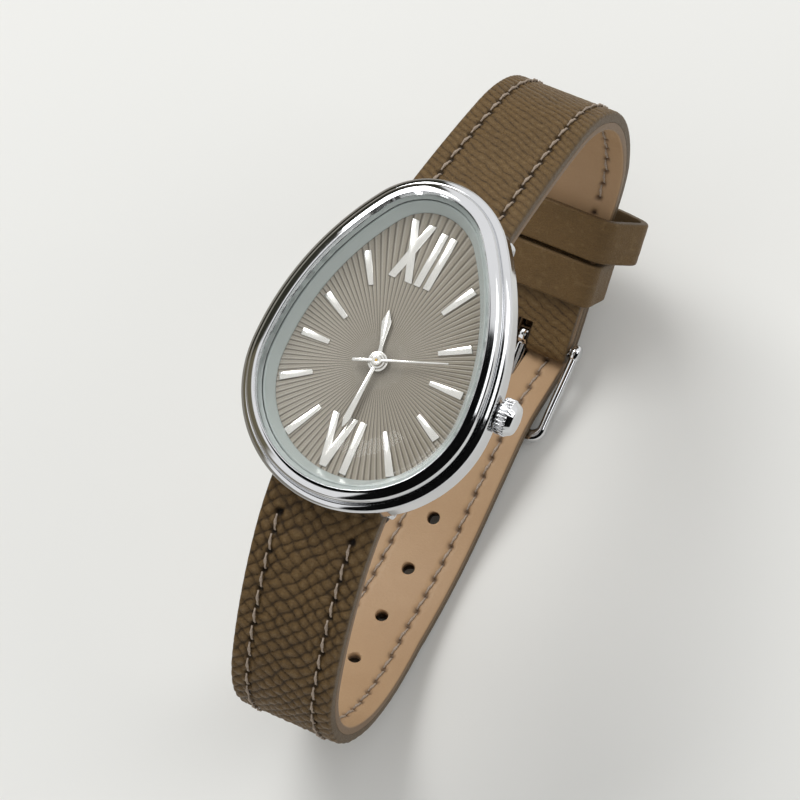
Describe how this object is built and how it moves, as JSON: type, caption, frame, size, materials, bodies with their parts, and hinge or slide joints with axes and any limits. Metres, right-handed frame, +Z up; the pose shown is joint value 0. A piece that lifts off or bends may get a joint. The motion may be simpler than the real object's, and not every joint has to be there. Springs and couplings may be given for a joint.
{
  "type": "quartz wrist watch",
  "caption": "Small wrist watch with an egg-shaped polished case, sunray dial, three hands and a buckled brown leather strap.",
  "frame": {"origin": "centre of the standing watch's outline, on the surface that its closed strap stands on", "axes": "+X towards the crown at 3 o'clock, +Y from the 6 o'clock side towards the 12 o'clock side, +Z up; the dial faces up and leans 12.2 degrees towards -Y"},
  "size_m": [0.0268, 0.0698, 0.0492],
  "materials": {
    "polished_steel": "mirror-polished plated steel",
    "mirror_trim": "polished silver applied trim",
    "clear_glass": "clear mineral glass, polished",
    "black_seal": "matt",
    "grey_ring": "translucent grey, satin",
    "taupe_dial": "pressed sunray pattern under satin lacquer",
    "brushed_back": "brushed",
    "cell_can": "satin nickel plated steel",
    "movement_plastic": "moulded",
    "brass_works": "satin",
    "copper_wire": "enamelled copper winding",
    "board_green": "circuit lacquer",
    "strap_grain": "cross-grain, semi-matt",
    "lining_tan": "smooth tan lining"
  },
  "bodies": {
    "watch": {"case_middle": "polished_steel", "bezel": "polished_steel", "crystal": "clear_glass", "crystal_seal": "grey_ring", "dial_ring": "grey_ring", "dial": "taupe_dial", "hour_markers": "mirror_trim", "numeral_twelve": "mirror_trim", "numeral_six": "mirror_trim", "case_back": "brushed_back", "case_back_seal": "black_seal", "movement_holder": "movement_plastic", "main_plate": "movement_plastic", "train_bridge": "movement_plastic", "battery": "cell_can", "battery_clamp": "brushed_back", "coil": "copper_wire", "stator": "brushed_back", "dial_washer": "brass_works", "circuit_board": "board_green", "quartz_can": "brushed_back", "movement_screws": "brushed_back", "setting_plate": "brushed_back", "crown_tube": "brushed_back", "lug_spring_bars": "brushed_back", "strap_long_leather": "strap_grain", "strap_long_lining": "lining_tan", "strap_short_leather": "strap_grain", "strap_short_lining": "lining_tan", "strap_fold": "strap_grain", "fixed_keeper": "strap_grain", "buckle_spring_bar": "brushed_back"},
    "seconds_works": {"seconds_wheel": "brass_works", "seconds_hand": "mirror_trim"},
    "fifth_works": {"fifth_wheel": "brass_works"},
    "rotor_works": {"rotor": "brushed_back"},
    "third_works": {"third_wheel": "brass_works"},
    "minute_works": {"centre_wheel": "brass_works", "cannon_pinion": "brass_works", "minute_hand": "mirror_trim"},
    "setting_works": {"minute_wheel": "brass_works"},
    "hour_works": {"hour_wheel": "brass_works", "hour_hand": "mirror_trim"},
    "clutch": {"clutch_wheel": "brass_works"},
    "winding_crown": {"crown": "polished_steel", "winding_stem": "brushed_back", "crown_seal": "black_seal"},
    "keeper_slider": {"free_keeper": "strap_grain"},
    "buckle": {"buckle_frame": "polished_steel"},
    "tongue": {"buckle_tongue": "polished_steel"}
  },
  "joints": [
    {"name": "seconds_turn", "type": "hinge", "parent": "watch", "child": "seconds_works", "pos_m": [-0.0009, -0.0056, 0.0432], "axis": [0, 0.2109, -0.9775], "continuous": true},
    {"name": "fifth_turn", "type": "hinge", "parent": "watch", "child": "fifth_works", "pos_m": [-0.00048, -0.00652, 0.04004], "axis": [0, 0.2109, -0.9775], "continuous": true},
    {"name": "rotor_turn", "type": "hinge", "parent": "watch", "child": "rotor_works", "pos_m": [0.00031, -0.00796, 0.04024], "axis": [0, 0.2109, -0.9775], "continuous": true},
    {"name": "third_turn", "type": "hinge", "parent": "watch", "child": "third_works", "pos_m": [-0.0028, -0.00579, 0.04081], "axis": [0, 0.2109, -0.9775], "continuous": true},
    {"name": "minute_turn", "type": "hinge", "parent": "watch", "child": "minute_works", "pos_m": [-0.0009, -0.0056, 0.0432], "axis": [0, 0.2109, -0.9775], "continuous": true},
    {"name": "setting_turn", "type": "hinge", "parent": "watch", "child": "setting_works", "pos_m": [0.0003, -0.00338, 0.04276], "axis": [0, 0.2109, -0.9775], "continuous": true},
    {"name": "hour_turn", "type": "hinge", "parent": "watch", "child": "hour_works", "pos_m": [-0.0009, -0.0056, 0.0432], "axis": [0, 0.2109, -0.9775], "continuous": true},
    {"name": "crown_turn", "type": "hinge", "parent": "watch", "child": "clutch", "pos_m": [0.0028, -0.0052, 0.04134], "axis": [1, 0, 0], "continuous": true},
    {"name": "crown_pull", "type": "slide", "parent": "clutch", "child": "winding_crown", "axis": [1, 0, 0], "range_m": [0, 0.0007]},
    {"name": "keeper_slide", "type": "slide", "parent": "watch", "child": "keeper_slider", "axis": [0, 0.7968, 0.6043], "range_m": [0, 0.0025]},
    {"name": "buckle_lift", "type": "hinge", "parent": "watch", "child": "buckle", "pos_m": [-0.0009, 0.01706, 0.0035], "axis": [1, 0, 0], "range_deg": [0, 10]},
    {"name": "tongue_lift", "type": "hinge", "parent": "buckle", "child": "tongue", "pos_m": [-0.0009, 0.01706, 0.0035], "axis": [1, 0, 0], "range_deg": [0, 10]}
  ],
  "couplings": [
    {"joint": "fifth_turn", "follows": "seconds_turn", "ratio": -5},
    {"joint": "rotor_turn", "follows": "seconds_turn", "ratio": 30},
    {"joint": "third_turn", "follows": "seconds_turn", "ratio": -0.13333},
    {"joint": "minute_turn", "follows": "seconds_turn", "ratio": 0.016667},
    {"joint": "setting_turn", "follows": "seconds_turn", "ratio": -0.0055556},
    {"joint": "hour_turn", "follows": "seconds_turn", "ratio": 0.0013889}
  ]
}
